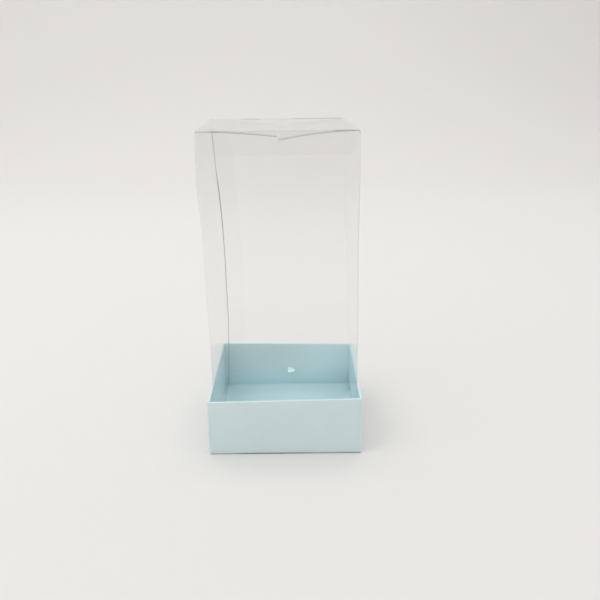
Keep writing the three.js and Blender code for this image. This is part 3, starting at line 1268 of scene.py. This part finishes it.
class TuckFlap(bpy.types.Operator):
    """Crease the tuck flap to the lid's front edge and tuck it behind the front panel"""

    bl_idname = "gift_box.tuck_flap"
    bl_label = "Tuck flap"

    def execute(self, context):
        low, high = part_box("tuck_flap")
        lid_low, lid_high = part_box("lid_panel")
        level = (lid_low.z + lid_high.z) / 2
        crease = lid_low.y
        length = (level - low.z) / math.cos(TUCK_LEAN)
        crease_foot = level - CREASE_RUN - PAINT_SLACK
        flap = flat_sheet("tuck_flap_film", (low.x, crease - length, level), (high.x, crease, level))
        give_materials(flap, film_finishes(context, tucked=True))
        with Editing(flap) as edit:
            edit.points(lambda place: near(place.y, crease - length))
            edit.round_points(TUCK_CORNER, CORNER_STEPS)
            edit.slice((1, 0, 0), low.x, high.x, LID_STRIPS)
            edit.slice((0, 1, 0), crease - length, crease, 4)
        hang = Matrix.Rotation(math.pi / 2 + TUCK_LEAN, 4, "X")
        hinge = Matrix.Translation((0, crease, level))
        flap.data.transform(hinge @ hang @ hinge.inverted())
        with Editing(flap) as edit:
            edit.edges(lambda place: near(place.z, level))
            edit.extrude((0, CREASE_RUN, 0))
            edit.edges(lambda place: near(place.z, level) and near(place.y, crease))
            edit.round_edges(CREASE_RUN, FILM_FOLD_STEPS)
            edit.faces(lambda place, normal: place.z > crease_foot)
            edit.paint(FILM_CREASE)
        thicken(flap, FILM)
        smooth_folds(flap)
        bow_with_the_tube(flap)
        settle_on_cover("tuck_flap")
        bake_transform(flap)
        return {"FINISHED"}


class DustFlaps(bpy.types.Operator):
    """Crease a dust flap to each side panel and let it sag under the lid"""

    bl_idname = "gift_box.dust_flaps"
    bl_label = "Dust flaps"

    def execute(self, context):
        settings = context.scene.gift_box_cover
        self.fold(context, "left", -1, settings.left_sag)
        self.fold(context, "right", 1, settings.right_sag)
        return {"FINISHED"}

    def fold(self, context, name, sign, sag):
        """Folds the flap on one side, where sign is the side's direction along x."""
        node = f"{name}_dust_flap"
        low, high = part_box(node)
        level = high.z - FILM / 2
        hinge = sign * (HALF_COVER - FILM / 2)
        tip = high.x if sign < 0 else low.x
        root_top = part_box(f"cover_{name}_panel")[1].z
        left, right = min(hinge, tip), max(hinge, tip)
        flap = flat_sheet(f"{node}_film", (left, low.y, level), (right, high.y, level))
        give_materials(flap, film_finishes(context))
        rear = Vector((sign * DUST_REAR_SLOPE, 1, 0)).normalized()
        with Editing(flap) as edit:
            bpy.ops.mesh.select_all(action="SELECT")
            bpy.ops.mesh.bisect(plane_co=(hinge, high.y, level), plane_no=rear, clear_outer=True)
            edit.points(lambda place: near(place.x, tip) and near(place.y, low.y))
            edit.round_points(DUST_CORNER, CORNER_STEPS)
            edit.slice((1, 0, 0), hinge, tip, 20)
            edit.slice((0, 1, 0), low.y, high.y, 10)

        def hang(share):
            reach = share.x if sign < 0 else 1 - share.x
            return (0, 0, -sag * reach ** SAG_POWER)

        reshape(flap, (left, low.y, level - FILM), (right, high.y, level + FILM), (12, 2, 2), hang)
        with Editing(flap) as edit:
            edit.edges(lambda place: near(place.x, hinge))
            edit.extrude((0, 0, root_top - level))
            edit.edges(lambda place: near(place.x, hinge) and near(place.z, level))
            edit.round_edges(CREASE_RUN, FILM_FOLD_STEPS)
            edit.faces(lambda place, normal: near(place.x, hinge, CREASE_RUN + PAINT_SLACK))
            edit.paint(FILM_CREASE)
        thicken(flap, FILM, edge_slot=FILM_EDGE)
        smooth_folds(flap)
        bow_with_the_tube(flap)
        settle_on_cover(node)
        self.hinge_on_cover(flap, name, hinge, level, sign)
        return {"FINISHED"}

    def hinge_on_cover(self, flap, name, hinge, level, sign):
        """Bakes the flap's transform into its mesh."""
        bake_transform(flap)


class Stage(bpy.types.Operator):
    """Set up the floor and backdrop, the soft light and the camera"""

    bl_idname = "gift_box.stage"
    bl_label = "Stage"

    def execute(self, context):
        settings = context.scene.gift_box_stage
        self.lay_backdrop(settings)
        self.hang_lights(context, settings)
        self.place_camera(context, settings)
        return {"FINISHED"}

    def lay_backdrop(self, settings):
        """Lays the floor and curves its four sides up into walls."""
        floor = flat_sheet("backdrop", BACKDROP_LOW, BACKDROP_HIGH)
        with Editing(floor) as edit:
            edit.points(lambda place: True)
            edit.round_points(BACKDROP_CORNER, 16)
            edit.edges(lambda place: True)
            wall = {"value": (0, 0, BACKDROP_WALL)}
            bpy.ops.mesh.extrude_edges_move(TRANSFORM_OT_translate=wall)
            edit.edges(lambda place: near(place.z, 0))
            edit.round_edges(BACKDROP_COVE, 20)
            bpy.ops.mesh.select_all(action="SELECT")
            bpy.ops.mesh.normals_make_consistent(inside=True)
        smooth_folds(floor)
        give_materials(floor, [once(paper_material, "backdrop_paper", settings)])

    def hang_lights(self, context, settings):
        """Lights the room evenly and hangs the lamps."""
        world = bpy.data.worlds.new("room")
        world.use_nodes = True
        background = world.node_tree.nodes["Background"]
        background.inputs["Color"].default_value = ROOM_COLOUR
        background.inputs["Strength"].default_value = settings.sky_strength
        context.scene.world = world
        for lamp in LAMPS:
            bpy.ops.object.light_add(type="AREA", location=lamp.place)
            light = context.active_object
            light.name = lamp.name
            light.data.shape = "RECTANGLE"
            light.data.size, light.data.size_y = lamp.size
            light.data.energy = settings.key_power * lamp.share
            aim = Vector(lamp.target) - Vector(lamp.place)
            light.rotation_euler = aim.to_track_quat("-Z", "Y").to_euler()

    def place_camera(self, context, settings):
        """Stands the camera where the picture was taken from."""
        bpy.ops.object.camera_add(location=settings.camera_place)
        camera = context.active_object
        camera.name = "photo_camera"
        tilt = Euler((math.pi / 2 - settings.camera_pitch, 0, 0)).to_matrix()
        roll = Matrix.Rotation(settings.camera_roll, 3, "Z")
        camera.rotation_euler = (tilt @ roll).to_euler()
        camera.data.sensor_width = SENSOR_WIDTH
        camera.data.lens = settings.lens
        camera.data.clip_start = CLIP_START
        camera.data.clip_end = CLIP_END
        context.scene.camera = camera
        context.scene.view_settings.view_transform = "Standard"
        context.scene.cycles.transparent_max_bounces = 24


class GiftBoxPanel(bpy.types.Panel):
    """Lists the gift box's pieces and settings."""

    bl_idname = "VIEW3D_PT_gift_box"
    bl_label = "Clear film gift box"
    bl_space_type = "VIEW_3D"
    bl_region_type = "UI"
    bl_category = "Gift Box"

    def draw(self, context):
        groups = (
            (context.scene.gift_box_tray, (TrayWalls, TrayLiners, FootFlaps, Ears, Floor)),
            (context.scene.gift_box_cover, (FilmPanels, GlueFlap, Lid, TuckFlap, DustFlaps)),
            (context.scene.gift_box_stage, (Stage,)),
        )
        for settings, operators in groups:
            box = self.layout.box()
            for name in settings.__annotations__:
                box.prop(settings, name)
            for operator in operators:
                box.operator(operator.bl_idname)


OPERATORS = (
    TrayWalls,
    TrayLiners,
    FootFlaps,
    Ears,
    Floor,
    FilmPanels,
    GlueFlap,
    Lid,
    TuckFlap,
    DustFlaps,
    Stage,
)
SETTINGS = {
    "gift_box_tray": TraySettings,
    "gift_box_cover": CoverSettings,
    "gift_box_stage": StageSettings,
}


def register():
    for kind in (*SETTINGS.values(), *OPERATORS, GiftBoxPanel):
        bpy.utils.register_class(kind)
    for name, kind in SETTINGS.items():
        setattr(bpy.types.Scene, name, PointerProperty(type=kind))


def unregister():
    for name in SETTINGS:
        delattr(bpy.types.Scene, name)
    for kind in (GiftBoxPanel, *reversed(OPERATORS), *SETTINGS.values()):
        bpy.utils.unregister_class(kind)


def main():
    """Makes every piece and the stage."""
    register()
    for operator in OPERATORS:
        group, name = operator.bl_idname.split(".")
        getattr(getattr(bpy.ops, group), name)()


if __name__ == "__main__":
    main()
